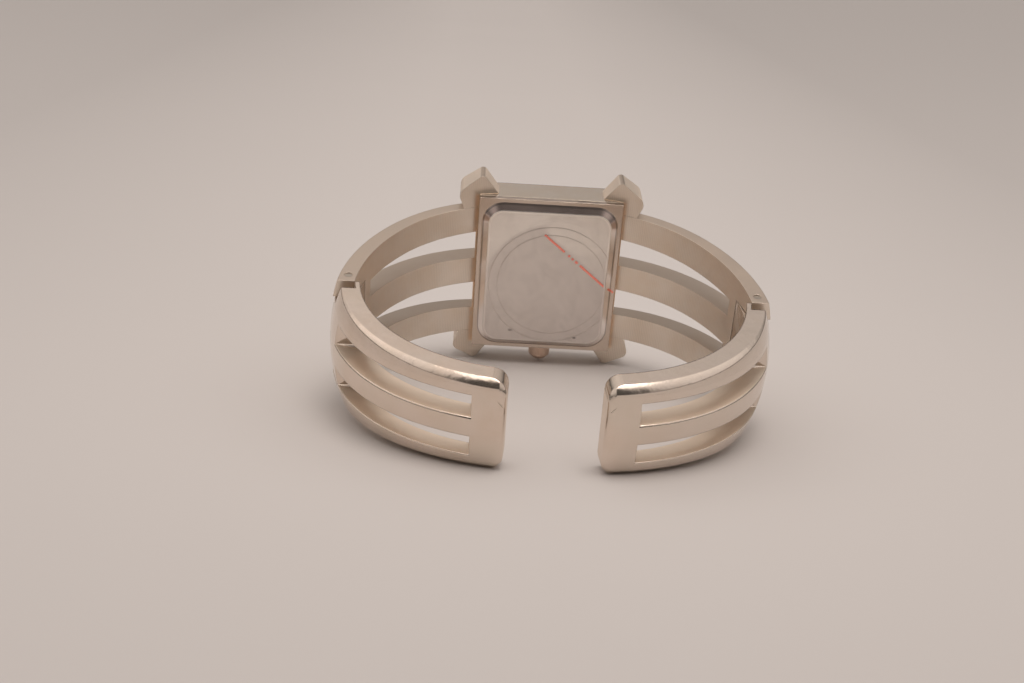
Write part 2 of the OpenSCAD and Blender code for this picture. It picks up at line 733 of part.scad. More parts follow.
// The upper slot of an arm. Its walls draw together towards the outer face, as
// cast, and both rise a little towards the hinge.
module arm_slot() {
  d = tan(slot_draft);
  r_in = arm_r1 - 2;
  r_out = arm_r1 + arm_t;
  intersection() {
    translate([0, slot_ref_y, 0]) rotate([atan(slot_rise), 0, 0])
      translate([arm_c1[0], arm_c1[1] - slot_ref_y, 0]) rotate([0, 0, -88])
        rotate_extrude(angle = 80, $fn = 180)
          polygon([[r_in, arm_mid_half_h - (r_out - r_in) * d], [r_out + 3, arm_mid_half_h + 3 * d],
            [r_out + 3, arm_slot_top - 3 * d], [r_in, arm_slot_top + (r_out - r_in) * d]]);
    translate([slot_end_x, -40, -2]) cube([30, 40 + slot_back_y, 14]);
  }
}

// What is taken from the upper corner of an arm's free end. From the corner's own
// axis, X is out through the band, Y is into the arm and Z is up to its edge.
module arm_corner() {
  c = arm_corner_r;
  translate([0, wing_end_y, band_half_h]) rotate([atan(arm_slope), 0, 0]) translate([0, -wing_end_y, 0])
    translate([arm_c2[0], arm_c2[1], 0]) rotate([0, 0, -arm_end_deg]) translate([arm_r2, c, -c]) {
      difference() {
        translate([-3, -c - 1, 0]) cube([arm_t + 6, c + 1, c + 3]);
        translate([-4, 0, 0]) rotate([0, 90, 0]) cylinder(r = c - corner_step, h = arm_t + 8);
      }
      // the corner's outer edge is rounded straight across the corner
      rotate([45, 0, 0]) translate([arm_t - 0.1 - corner_round, 0, c + 0.05 - corner_round]) difference() {
        translate([0, -8, 0]) cube([6, 16, 6]);
        rotate([90, 0, 0]) cylinder(r = corner_round, h = 20, center = true, $fn = 96);
      }
    }
}

module arm(s) {
  end_c = arm_c2 + (arm_r2 + arm_t - end_round) * [cos(end_round_deg), -sin(end_round_deg)];
  side(s) difference() {
    union() {
      intersection() {
        union() {
          arm_arc(arm_c1, arm_r1, arm_t, arm_join_deg, 14);
          arm_arc(arm_c2, arm_r2 - arc_step, arm_t + 2 * arc_step, -arm_end_deg, arm_join_deg + arc_lap);
        }
        union() {
          // in front of the shoulder the arm has its full height
          translate([0, -40, -12]) cube([40, 40 + shoulder_y, 24]);
          // behind it, the tongue
          intersection() {
            translate([20, shoulder_y - 1, -tongue_half_h]) cube([20, 12, 2 * tongue_half_h]);
            union() {
              translate([20, shoulder_y - 1, -12]) cube([20, pin_y - shoulder_y + 1, 24]);
              translate([pin_x, pin_y, -12]) cylinder(r = tongue_r, h = 24, $fn = 96);
            }
            translate([wing_c2[0], wing_c2[1], -12])
              cylinder(r = wing_r2 + wing_t - 0.06, h = 24, $fn = 180);
          }
          // the inner lip that closes the gap on the wrist side
          intersection() {
            translate([20, shoulder_y - 1, -12]) cube([20, wing_end_y - 0.12 - shoulder_y + 1, 24]);
            translate([arm_c1[0], arm_c1[1], -12]) cylinder(r = arm_r1 + 0.6, h = 24, $fn = 180);
          }
        }
      }
    }
    // two slots on each side of the middle bar
    for (up = [0, 1]) mirror([0, 0, up]) arm_slot();
    for (up = [0, 1]) mirror([0, 0, up]) arm_corner();
    // rounding between the end face and the outer face
    translate([0, 0, -12]) linear_extrude(24) difference() {
      translate(end_c) rotate(-arm_end_deg - 90) translate([0, 0]) square([6, 6]);
      translate(end_c) circle(end_round, $fn = 64);
    }
    // bore of the pin and pocket of the spring
    translate([pin_x, pin_y, -12]) cylinder(r = pin_r + 0.04, h = 24, $fn = 48);
    translate([pin_x, pin_y, pocket_z]) cylinder(r = pocket_r, h = 6, $fn = 48);
    // hole for the spring's lower leg
    translate([pin_x, pin_y + spring_r, pocket_z - 0.8]) cylinder(r = spring_wire_r + 0.03, h = 1, $fn = 24);
  }
}

module hinge_pin(s) {
  side(s) translate([pin_x, pin_y, -edge_z(pin_y) + 0.08])
    cylinder(r = pin_r, h = 2 * edge_z(pin_y) - 0.16, $fn = 48);
}

// A closing spring: one wire wound round the pin, with a straight leg at each end.
module hinge_spring(s) {
  step = 14;
  n = spring_turns * step;
  z0 = pocket_z + 0.2;
  rise = (tongue_half_h - 0.3 - z0) / n;
  ring = [for (j = [0 : 5]) spring_wire_r * [cos(j * 60), -sin(j * 60)]];
  pts = [for (i = [0 : n], q = ring)
    [(spring_r + q[0]) * sin(i * 360 / step), (spring_r + q[0]) * cos(i * 360 / step), z0 + i * rise + q[1]]];
  walls = [for (i = [0 : n - 1], j = [0 : 5])
    [i * 6 + j, i * 6 + (j + 1) % 6, (i + 1) * 6 + (j + 1) % 6, (i + 1) * 6 + j]];
  side(s) translate([pin_x, pin_y, 0]) {
    polyhedron(points = pts,
      faces = concat([[5, 4, 3, 2, 1, 0]], walls, [[for (j = [0 : 5]) n * 6 + j]]));
    translate([0, spring_r, pocket_z - 0.6]) cylinder(r = spring_wire_r, h = 0.9, $fn = 16);
    translate([0, spring_r, tongue_half_h - 0.4]) cylinder(r = spring_wire_r, h = 1.0, $fn = 16);
  }
}

module left_wing() centred() color(steel) wing(-1);
module right_wing() centred() color(steel) wing(1);
module left_arm() centred() color(steel) arm(-1);
module right_arm() centred() color(steel) arm(1);
module left_hinge_pin() centred() color([0.6, 0.58, 0.55]) hinge_pin(-1);
module right_hinge_pin() centred() color([0.6, 0.58, 0.55]) hinge_pin(1);
module left_hinge_spring() centred() color([0.5, 0.5, 0.52]) hinge_spring(-1);
module right_hinge_spring() centred() color([0.5, 0.5, 0.52]) hinge_spring(1);

case_body();
case_back();
back_gasket();
protective_film();
crystal();
crystal_gasket();
dial();
hour_markers();
hour_hand();
minute_hand();
hour_wheel();
cannon_pinion();
minute_wheel();
centre_wheel();
intermediate_wheel();
rotor();
movement_holder();
main_plate();
train_bridge();
stator();
coil();
coil_core();
circuit_board();
quartz_can();
battery();
battery_clamp();
bridge_screws();
stem();
setting_pinion();
crown();
crown_gasket();
left_wing();
right_wing();
left_arm();
right_arm();
left_hinge_pin();
right_hinge_pin();
left_hinge_spring();
right_hinge_spring();
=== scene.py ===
import math

import bmesh
import bpy
from mathutils import Matrix, Vector

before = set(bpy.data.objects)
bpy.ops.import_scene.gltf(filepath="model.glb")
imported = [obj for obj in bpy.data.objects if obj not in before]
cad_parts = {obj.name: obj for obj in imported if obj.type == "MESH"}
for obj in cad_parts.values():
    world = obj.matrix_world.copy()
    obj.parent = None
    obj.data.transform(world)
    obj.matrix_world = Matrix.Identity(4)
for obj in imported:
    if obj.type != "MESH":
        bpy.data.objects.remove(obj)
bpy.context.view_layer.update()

MM = 0.001
# the watch's own frame has its origin this far, in mm, from the middle of the wrist opening
SHIFT_Y = 0.82997


# a colour mix node's two inputs and its output, by place, because their names repeat
MIX_A = 6
MIX_B = 7
MIX_OUT = 2


# node helpers
class Mat:
    """A material being built: short names for the nodes used again and again."""

    def __init__(self, name):
        self.m = bpy.data.materials.new(name)
        self.m.use_nodes = True
        self.t = self.m.node_tree
        self.t.nodes.clear()
        self.out = self.t.nodes.new("ShaderNodeOutputMaterial")
        self.obj = self.t.nodes.new("ShaderNodeTexCoord").outputs["Object"]

    def node(self, kind, **props):
        n = self.t.nodes.new(kind)
        for k, v in props.items():
            setattr(n, k, v)
        return n

    def link(self, a, b):
        self.t.links.new(a, b)

    def put(self, socket, value):
        """Links a socket's value, or sets a plain one."""
        if isinstance(value, bpy.types.NodeSocket):
            self.link(value, socket)
        else:
            socket.default_value = value

    def math(self, op, a, b=None, c=None):
        n = self.node("ShaderNodeMath", operation=op)
        for s, v in zip(n.inputs, (a, b, c)):
            if v is not None:
                self.put(s, v)
        return n.outputs[0]

    def plus(self, a, b):
        return self.math("ADD", a, b)

    def minus(self, a, b):
        return self.math("SUBTRACT", a, b)

    def times(self, a, b):
        return self.math("MULTIPLY", a, b)

    def length(self, a, b):
        """The length of the hypotenuse over two sides."""
        return self.math("SQRT", self.plus(self.times(a, a), self.times(b, b)))

    def wave(self, phase):
        """A sine from 0 to 1."""
        return self.math("MULTIPLY_ADD", self.math("SINE", phase), 0.5, 0.5)

    def scale(self, sx, sy, sz):
        """The object's coordinates, stretched: a small factor draws the noise out."""
        n = self.node("ShaderNodeVectorMath", operation="MULTIPLY")
        self.link(self.obj, n.inputs[0])
        n.inputs[1].default_value = (sx, sy, sz)
        return n.outputs[0]

    def noise(self, scale, detail=4.0, rough=0.55, vector=None, distortion=0.0):
        n = self.node("ShaderNodeTexNoise")
        n.inputs["Scale"].default_value = scale
        n.inputs["Detail"].default_value = detail
        n.inputs["Roughness"].default_value = rough
        n.inputs["Distortion"].default_value = distortion
        self.link(vector or self.obj, n.inputs["Vector"])
        return n.outputs["Fac"]

    def ramp(self, fac, lo, hi, a=0.0, b=1.0):
        """From a at lo to b at hi, and level beyond them."""
        n = self.node("ShaderNodeMapRange")
        n.clamp = True
        n.inputs["From Min"].default_value = lo
        n.inputs["From Max"].default_value = hi
        n.inputs["To Min"].default_value = a
        n.inputs["To Max"].default_value = b
        self.link(fac, n.inputs["Value"])
        return n.outputs["Result"]

    def mix(self, fac, a, b):
        n = self.node("ShaderNodeMix", data_type="RGBA")
        self.put(n.inputs["Factor"], fac)
        for s, v in ((n.inputs[MIX_A], a), (n.inputs[MIX_B], b)):
            if isinstance(v, (tuple, list)):
                s.default_value = (*v[:3], 1.0)
            else:
                self.link(v, s)
        return n.outputs[MIX_OUT]

    def bump(self, height, strength, distance, normal=None):
        n = self.node("ShaderNodeBump")
        n.inputs["Strength"].default_value = strength
        n.inputs["Distance"].default_value = distance
        self.link(height, n.inputs["Height"])
        if normal is not None:
            self.link(normal, n.inputs["Normal"])
        return n.outputs["Normal"]

    def soft_edge(self, radius):
        """A normal that rounds the edges by a radius in metres."""
        n = self.node("ShaderNodeBevel", samples=10)
        n.inputs["Radius"].default_value = radius
        return n.outputs["Normal"]

    def xyz(self, vector=None):
        """The three parts of a vector, by default of the object's coordinates."""
        n = self.node("ShaderNodeSeparateXYZ")
        self.link(vector or self.obj, n.inputs[0])
        return n.outputs

    def shader(self, color, metallic, rough, normal=None, **more):
        """The surface; further inputs are named with _ for a space."""
        n = self.node("ShaderNodeBsdfPrincipled")
        if isinstance(color, (tuple, list)):
            n.inputs["Base Color"].default_value = (*color[:3], 1.0)
        else:
            self.link(color, n.inputs["Base Color"])
        self.put(n.inputs["Metallic"], metallic)
        self.put(n.inputs["Roughness"], rough)
        if normal is not None:
            self.link(normal, n.inputs["Normal"])
        for k, v in more.items():
            self.put(n.inputs[k.replace("_", " ")], v)
        self.link(n.outputs[0], self.out.inputs["Surface"])
        return n


def shade(c, k):
    """A colour made k times as light, to 1 at most."""
    return tuple(min(1.0, v * k) for v in c)


# metals
NICKEL = (0.850, 0.765, 0.672)
NICKEL_WARM = (0.835, 0.725, 0.610)
# a darker tint for the faces that look straight up or down
EDGE_FACE_TINT = (0.600, 0.505, 0.425)
# a paler tint for the lugs' slanting faces, painted light
LUG_FACET_PAINTED_LIGHT = (0.930, 0.825, 0.720)
ROSE = (0.815, 0.700, 0.612)
ROSE_WARM = (0.778, 0.652, 0.548)
ROSE_GREY = (0.735, 0.665, 0.570)
# a darker, cooler rose for the right arm, painted shade
ROSE_SHADED = (0.745, 0.672, 0.610)
# a lighter tint for the slots' up-facing floors, painted light
SLOT_PAINTED_LIGHT = (1.000, 0.860, 0.715)
# a dark tint for the slots towards the hinge, painted shade
SLOT_PAINTED_SHADE = (0.300, 0.250, 0.205)
SOLDER = (0.92, 0.72, 0.55)
CORAL = (1.0, 0.34, 0.27)

# bevels in the materials, as radii in metres
FINE_EDGE = 0.00003
LINED_EDGE = 0.00015
BACK_EDGE = 0.00014
ARM_EDGE = 0.00022


def plated(name, base, warm, r_lo, r_hi, scratch=1.0, edge=0.00006):
    """Worn plate: mottled tint, patchy gloss, hairline scratches and rounded edges."""
    m = Mat(name)
    tint, rough, normal = worn_plate(m, base, warm, r_lo, r_hi, scratch, m.soft_edge(edge))
    m.shader(tint, 1.0, rough, normal)
    return m.m


def worn_plate(m, base, warm, r_lo, r_hi, scratch, worn):
    """Tint, roughness and normal of worn plate; worn is the normal with rounded edges."""
    blotch = m.noise(260.0, 5.0, 0.6)
    fine = m.noise(1700.0, 3.0, 0.6)
    tint = m.mix(m.ramp(blotch, 0.38, 0.66), base, warm)
    # hairlines, long across one axis and short across the other
    hair_a = m.noise(1.0, 2.0, 0.5, m.scale(5200.0, 5200.0, 240.0))
    hair_b = m.noise(1.0, 2.0, 0.5, m.scale(420.0, 420.0, 6400.0))
    hair = m.plus(m.ramp(hair_a, 0.60, 0.78, 0.0, 0.7), m.ramp(hair_b, 0.63, 0.78, 0.0, 0.5))
    rough = m.plus(m.ramp(blotch, 0.3, 0.7, r_lo, r_hi), m.times(hair, 0.10))
    tint = m.mix(m.ramp(fine, 0.30, 0.62, 0.10, 0.0), tint, shade(base, 0.70))
    normal = m.bump(hair, 0.10 * scratch, 0.00002, worn)
    normal = m.bump(fine, 0.06 * scratch, 0.00004, normal)
    return tint, rough, normal


# the arms' slots, in mm: where they are, and how far z reaches in them
SLOT_FROM_X = 10.7
SLOT_TO_Y = -9.6
SLOT_TIP_Y = -26.0
SLOT_HALF_Z = 5.5
# each slot's lower edge: its height at the tip, and 1 if it rises towards the hinge, -1 if it falls
SLOT_EDGES = ((1.44, 1.0), (-4.41, -1.0))
SLOT_RISE = 0.0175
# the rounding that the lower edges seem to have: from over the edge to its width, and its strength
LIP_OVER = 0.05
LIP_WIDTH = 0.42
LIP_TILT = 1.15
# the doming that the slots' floors seem to have, about the arm's own axis
ARM_AXIS = (6.46, -1.73)
DOME_SLOPE = -0.24
# where the painted shade in the slots begins towards the hinge, on the left and the right arm, in
# metres
SHADE_FROM_LEFT = -0.0160
SHADE_FROM_RIGHT = -0.0178


def slot_edges(m, normal):
    """Shading of the arms' slots: the lower edges look rounded, the floors a little domed."""
    x, y, z = m.xyz()
    away = m.math("ABSOLUTE", x)
    # towards the hinge the upper slot's lower edge rises a little, and the lower slot's falls
    rise = m.times(m.minus(y, (SLOT_TIP_Y + SHIFT_Y) * MM), SLOT_RISE)
    beside = m.times(m.math("GREATER_THAN", away, SLOT_FROM_X * MM),
                     m.math("LESS_THAN", y, (SLOT_TO_Y + SHIFT_Y) * MM))
    total = None
    for at, sign in SLOT_EDGES:
        below = m.minus(m.math("MULTIPLY_ADD", rise, sign, at * MM), z)
        # full at the edge, gone at the lip's width below it
        lip = m.ramp(below, 0.0, LIP_WIDTH * MM, LIP_TILT, 0.0)
        lip = m.times(lip, m.math("GREATER_THAN", below, -LIP_OVER * MM))
        total = lip if total is None else m.plus(total, lip)
    up = m.node("ShaderNodeCombineXYZ")
    m.link(m.times(total, beside), up.inputs[2])
    turned_up = m.node("ShaderNodeVectorMath", operation="ADD")
    m.link(normal, turned_up.inputs[0])
    m.link(up.outputs[0], turned_up.inputs[1])
    unit = m.node("ShaderNodeVectorMath", operation="NORMALIZE")
    m.link(turned_up.outputs[0], unit.inputs[0])
    # distance from the arm's own axis, so that only the slots' floors are domed
    out = m.length(m.minus(away, ARM_AXIS[0] * MM), m.minus(y, (ARM_AXIS[1] + SHIFT_Y) * MM))
    inside = m.math("LESS_THAN", m.math("ABSOLUTE", z), SLOT_HALF_Z * MM)
    dome = m.times(m.times(out, DOME_SLOPE), inside)
    return m.bump(dome, 1.0, 1.0, unit.outputs[0]), inside


def arm_metal(name):
    """The arms' rosy plate, polished by hand, with satin floors in the slots; a lighter tint paints
    light on the floors, and a dark tint paints shade towards the hinge.
    """
    m = Mat(name)
    worn, inside = slot_edges(m, m.soft_edge(ARM_EDGE))
    tint, rough, normal = worn_plate(m, ROSE, ROSE_WARM, 0.08, 0.15, 1.0, worn)
    grey = m.ramp(m.noise(110.0, 4.0, 0.6), 0.42, 0.66, 0.0, 0.50)
    tint = m.mix(grey, tint, ROSE_GREY)
    # the faces aren't quite even
    normal = m.bump(m.noise(420.0, 3.0, 0.5), 0.38, 0.0002, normal)
    # the slots' up-facing floors: rougher and less metallic, and also the mask for their painted light
    facing = m.node("ShaderNodeNewGeometry").outputs["True Normal"]
    satin_and_light = m.times(m.ramp(m.xyz(facing)[2], 0.5, 0.8), inside)
    x, y = m.xyz()[:2]
    # the right arm is tinted a little darker and cooler, painted shade
    tint = m.mix(m.ramp(x, 0.005, 0.020, 0.0, 0.45), tint, ROSE_SHADED)
    # painted light: the slots' up-facing floors are tinted lighter
    tint = m.mix(satin_and_light, tint, SLOT_PAINTED_LIGHT)
    # painted shade, dark towards the hinge, where the slots' ends stand close; longer on the right
    reach = m.minus(y, m.ramp(x, -0.001, 0.001, SHADE_FROM_LEFT, SHADE_FROM_RIGHT))
    hinge_shade = m.times(m.ramp(reach, 0.0, 0.0042), satin_and_light)
    tint = m.mix(m.times(hinge_shade, 0.40), tint, SLOT_PAINTED_SHADE)
    rough = m.plus(rough, m.times(satin_and_light, 0.26))
    m.shader(tint, m.ramp(satin_and_light, 0.0, 1.0, 0.93, 0.55), rough, normal)
    return m.m


# the band's middle radius, and the soldered seam between wing and case, in metres
BAND_R = 0.0275
SEAM_X = 0.01125
SEAM_Z = 0.0124
SEAM_FADE = 0.0004


def lined(name, base, warm, r_lo, r_hi, pitch):
    """Plate with fine lines along Z, as left by the cutter that trued the band."""
    m = Mat(name)
    x, y, z = m.xyz()
    blotch = m.noise(230.0, 5.0, 0.6)
    # distance round the band, from the angle about the band's middle
    around = m.math("ARCTAN2", y, x)
    turn = m.times(around, BAND_R / pitch * 2.0 * math.pi)
    wobble = m.times(m.noise(1.0, 3.0, 0.5, m.scale(900.0, 900.0, 60.0)), 5.0)
    patch = m.ramp(m.noise(170.0, 3.0, 0.5), 0.35, 0.6, 0.25, 1.0)
    lines = m.times(m.wave(m.plus(turn, wobble)), patch)
    hair = m.noise(1.0, 2.0, 0.5, m.scale(6000.0, 6000.0, 200.0))
    tint = m.mix(m.ramp(blotch, 0.36, 0.68), base, warm)
    tint = m.mix(m.times(lines, 0.22), tint, shade(base, 0.62))
    # copper-coloured solder shows where the wing meets the case
    beside = m.ramp(m.math("ABSOLUTE", x), SEAM_X, SEAM_X + SEAM_FADE, 1.0, 0.0)
    level = m.ramp(m.math("ABSOLUTE", z), SEAM_Z, SEAM_Z + SEAM_FADE, 1.0, 0.0)
    patchy = m.ramp(m.noise(700.0, 3.0, 0.6), 0.30, 0.55, 0.35, 1.0)
    tint = m.mix(m.times(m.times(beside, level), patchy), tint, SOLDER)
    # the faces that look straight up or down are tinted darker than the rest
    upward = m.xyz(m.node("ShaderNodeNewGeometry").outputs["True Normal"])[2]
    edge = m.ramp(m.math("ABSOLUTE", upward), 0.85, 0.97)
    tint = m.mix(m.times(edge, 0.85), tint, EDGE_FACE_TINT)
    rough = m.plus(m.ramp(blotch, 0.3, 0.7, r_lo, r_hi), m.times(lines, 0.08))
    # the lugs' slanting faces are left matt, and a paler tint on them is painted light
    slanting = m.times(m.ramp(upward, 0.25, 0.40), m.ramp(upward, 0.80, 0.90, 1.0, 0.0))
    tint = m.mix(slanting, tint, LUG_FACET_PAINTED_LIGHT)
    rough = m.plus(rough, m.times(slanting, 0.25))
    normal = m.bump(lines, 0.18, 0.00004, m.soft_edge(LINED_EDGE))
    normal = m.bump(hair, 0.10, 0.00003, normal)
    m.shader(tint, 1.0, rough, normal)
    return m.m


def turned(name, base, rough, grain=3000.0, flat_axis="y"):
    """Small turned or ground part: fine grain round its own axis or along it."""
    m = Mat(name)
    s = {"y": (grain, 60.0, grain), "z": (grain, grain, 60.0)}[flat_axis]
    g = m.noise(1.0, 3.0, 0.6, m.scale(*s))
    b = m.noise(600.0, 3.0, 0.5)
    tint = m.mix(m.ramp(g, 0.35, 0.65, 0.0, 0.6), base, shade(base, 0.78))
    r = m.plus(m.ramp(b, 0.3, 0.7, rough, rough + 0.12), m.times(g, 0.08))
    normal = m.bump(g, 0.12, 0.00003, m.soft_edge(FINE_EDGE))
    m.shader(tint, 1.0, r, normal)
    return m.m


# the stripe's start and its direction, in x and z
STRIPE_FROM = Vector((-0.68, 7.46)) * MM
STRIPE_ALONG = (Vector((10.64, -2.10)) * MM - STRIPE_FROM).normalized()
STRIPE = (*STRIPE_FROM, *STRIPE_ALONG)
STRIPE_HALF_WIDTH = 0.00025
# its printed lengths, in mm from the start
DASHES = ((0.0, 4.2), (5.0, 5.35), (5.75, 6.1), (6.5, 7.0), (7.5, 12.9), (13.6, 14.9))
# specks of dirt on the film near the crown: place in x and z, size in mm, darkness
SPECKS = ((-4.96, -9.26, 0.44, 0.30), (5.23, -10.08, 0.34, 0.60))
# the engraved rings' middle, and the radius of the outer one, in mm
RING_AT = (0.9, -1.0)
RING_R = 9.87
# the back's face, and how deep behind it, in metres, each of its forms comes in or goes out, and the
# painted dark reflection at the slope's foot
FACE_Y = (17.3 + SHIFT_Y) * MM
SLOPE_IN = (0.00003, 0.00009)
REFLECTION_FOOT_IN = (0.00056, 0.00062)
REFLECTION_FOOT_OUT = (0.00072, 0.00077)
RIM_IN = (0.00070, 0.00079)
# tints of the back's field, slope and rim, and of the film
FIELD = (0.845, 0.790, 0.742)
FIELD_WARM = (0.820, 0.760, 0.712)
# a darker tint for the field towards the crown and the right wing, painted shade
FIELD_PAINTED_SHADE = (0.66, 0.60, 0.57)
# a lighter tint for the field outside the upper part of the ring and beyond the stripe
FIELD_PALE = (1.000, 0.950, 0.890)
SLOPE_TINT = (1.000, 0.925, 0.875)
# a darker tint for the slope's top, a painted dark reflection
SLOPE_TOP_REFLECTION = (0.760, 0.630, 0.580)
# a dark tint for the line at the slope's foot, a painted dark reflection
SLOPE_FOOT_REFLECTION = (0.30, 0.25, 0.23)
RIM_TINT = (0.66, 0.56, 0.48)
FILM_TINT = (0.66, 0.60, 0.56)
DIRT = (0.20, 0.17, 0.15)


def red_stripe(m, x, z):
    """Mask of the one broken red stripe printed on the back's film."""
    ax, az, dx, dz = STRIPE
    px = m.minus(x, ax)
    pz = m.minus(z, az)
    along = m.plus(m.times(px, dx), m.times(pz, dz))
    across = m.minus(m.times(px, dz), m.times(pz, dx))
    across = m.math("ABSOLUTE", across)
    jitter = m.times(m.noise(1400.0, 3.0, 0.6), 0.00016)
    stripe = m.math("LESS_THAN", m.plus(across, jitter), STRIPE_HALF_WIDTH)
    total = None
    for start, end in DASHES:
        dash = m.times(m.math("GREATER_THAN", along, start * MM),
                       m.math("LESS_THAN", along, end * MM))
        total = dash if total is None else m.plus(total, dash)
    broken = m.ramp(m.noise(900.0, 2.0, 0.5), 0.24, 0.34)
    return m.times(m.times(stripe, total), broken)


def back_metal(name):
    """The press-fit back: satin field, polished slope and rim."""
    m = Mat(name)
    x, y, z = m.xyz()
    # depth from the field's face towards the case, in metres
    depth = m.minus(y, FACE_Y)
    slope = m.ramp(depth, *SLOPE_IN)
    blotch = m.noise(180.0, 4.0, 0.6)
    grain = m.noise(1.0, 3.0, 0.6, m.scale(1300.0, 1300.0, 170.0))
    tint = m.mix(m.ramp(blotch, 0.35, 0.65, 0.0, 0.6), FIELD, FIELD_WARM)
    # painted shade: the field is tinted a little darker towards the crown and the right wing
    slant = m.minus(z, m.times(x, 0.6))
    tint = m.mix(m.ramp(slant, -0.012, 0.014, 0.62, 0.0), tint, FIELD_PAINTED_SHADE)
    # lighter outside the upper part of the ring and beyond the stripe
    from_middle = m.length(m.minus(x, RING_AT[0] * MM), m.minus(z, RING_AT[1] * MM))
    outside = m.ramp(from_middle, RING_R * MM, (RING_R + 0.5) * MM)
    ax, az, dx, dz = STRIPE
    beyond = m.minus(m.times(m.minus(z, az), dx), m.times(m.minus(x, ax), dz))
    beyond = m.times(m.ramp(beyond, 0.0, 0.0008), m.ramp(x, ax - 0.001, ax + 0.001))
    paler = m.times(m.math("MAXIMUM", outside, beyond), m.ramp(z, -0.001, 0.006))
    tint = m.mix(paler, tint, FIELD_PALE)
    # the slope is tinted darkest at the top, a painted dark reflection, and a dark line at its foot, a
    # painted dark reflection too, parts it from the rim
    tint = m.mix(slope, tint, SLOPE_TINT)
    tint = m.mix(m.times(slope, m.ramp(z, 0.0080, 0.0098)), tint, SLOPE_TOP_REFLECTION)
    # a painted dark reflection: a dark line in the crease at the slope's foot
    foot_reflection = m.times(m.ramp(depth, *REFLECTION_FOOT_IN), m.ramp(depth, *REFLECTION_FOOT_OUT, 1.0, 0.0))
    tint = m.mix(m.times(foot_reflection, 0.7), tint, SLOPE_FOOT_REFLECTION)
    # the narrow rim outside the slope
    rim = m.ramp(depth, *RIM_IN)
    tint = m.mix(rim, tint, RIM_TINT)
    # the field's roughness stays above 0.28 and the slope's below it, or the denoiser leaves marks
    rough_field = m.plus(m.ramp(blotch, 0.3, 0.7, 0.285, 0.315), m.times(grain, 0.05))
    rough_slope = m.ramp(blotch, 0.3, 0.7, 0.19, 0.25)
    # the film's stripe runs on over the slope and rim
    red = m.times(red_stripe(m, x, z), slope)
    tint = m.mix(red, tint, CORAL)
    rough = m.plus(m.times(rough_field, m.minus(1.0, slope)), m.times(rough_slope, slope))
    m.shader(tint, 1.0, rough, m.soft_edge(BACK_EDGE))
    return m.m


# other matter
def moulded(name, base, rough, metallic=0.0, strength=0.15, **more):
    """Moulded or painted part with a fine even grain."""
    m = Mat(name)
    b = m.noise(420.0, 4.0, 0.55)
    g = m.noise(2500.0, 3.0, 0.6)
    tint = m.mix(m.ramp(b, 0.35, 0.65), base, shade(base, 0.86))
    tint = m.mix(m.ramp(g, 0.35, 0.65, 0.12, 0.0), tint, shade(base, 0.72))
    normal = m.bump(g, strength, 0.00003, m.soft_edge(FINE_EDGE))
    m.shader(tint, metallic, m.ramp(b, 0.3, 0.7, rough, rough + 0.12), normal, **more)
    return m.m


def film_matter(name):
    """Thin clear film with one broken red stripe printed across it."""
    m = Mat(name)
    x, _, z = m.xyz()
    red = red_stripe(m, x, z)
    smear = m.noise(240.0, 4.0, 0.6, None, 1.2)
    tint = m.mix(red, FILM_TINT, CORAL)
    alpha = m.math("MAXIMUM", m.ramp(smear, 0.42, 0.72, 0.04, 0.08), red)
    for sx, sz, size, dark in SPECKS:
        dx = m.times(m.minus(x, sx * MM), 1.0 / (size * MM))
        dz = m.times(m.minus(z, sz * MM), 1.6 / (size * MM))
        speck = m.ramp(m.length(dx, dz), 0.4, 1.1, dark, 0.0)
        tint = m.mix(speck, tint, DIRT)
        alpha = m.math("MAXIMUM", alpha, speck)
    # the stripe is printed in a shiny ink
    p = m.shader(tint, red, m.ramp(smear, 0.3, 0.7, 0.20, 0.32))
    m.link(alpha, p.inputs["Alpha"])
    return m.m


def glass_matter(name):
    """Clear mineral glass with a faint haze."""
    m = Mat(name)
    s = m.noise(500.0, 3.0, 0.5)
    normal = m.bump(s, 0.02, 0.00002, m.soft_edge(0.00004))
    m.shader((0.98, 0.99, 0.99), 0.0, m.ramp(s, 0.4, 0.7, 0.02, 0.05), normal,
             Transmission_Weight=1.0, IOR=1.52)
    return m.m


def board_matter(name):
    """Green circuit board with its tracks, under a clear coat."""
    m = Mat(name)
    g = m.noise(1.0, 2.0, 0.5, m.scale(1500.0, 300.0, 300.0))
    w = m.noise(900.0, 2.0, 0.5)
    tracks = m.ramp(g, 0.56, 0.58)
    tint = m.mix(tracks, (0.030, 0.140, 0.070), (0.080, 0.300, 0.150))
    normal = m.bump(tracks, 0.3, 0.00003, m.soft_edge(FINE_EDGE))
    m.shader(tint, 0.0, m.ramp(w, 0.3, 0.7, 0.30, 0.45), normal, Coat_Weight=0.3)
    return m.m


# from one turn of the coil to the next, in metres
WIRE_PITCH = 0.00012
# the dial's rays in one radian
RAYS = 140.0


def wound_matter(name):
    """Copper winding: one fine turn beside the next along Z."""
    m = Mat(name)
    turns = m.wave(m.times(m.xyz()[2], 2 * math.pi / WIRE_PITCH))
    b = m.noise(800.0, 3.0, 0.5)
    # each turn is tinted lighter on its crown and darker between turns, painted highlight and painted
    # shade
    tint = m.mix(m.times(turns, 0.6), (0.16, 0.05, 0.02), (0.62, 0.24, 0.09))
    m.shader(tint, 0.9, m.ramp(b, 0.3, 0.7, 0.22, 0.34), m.bump(turns, 0.6, 0.00004))
    return m.m


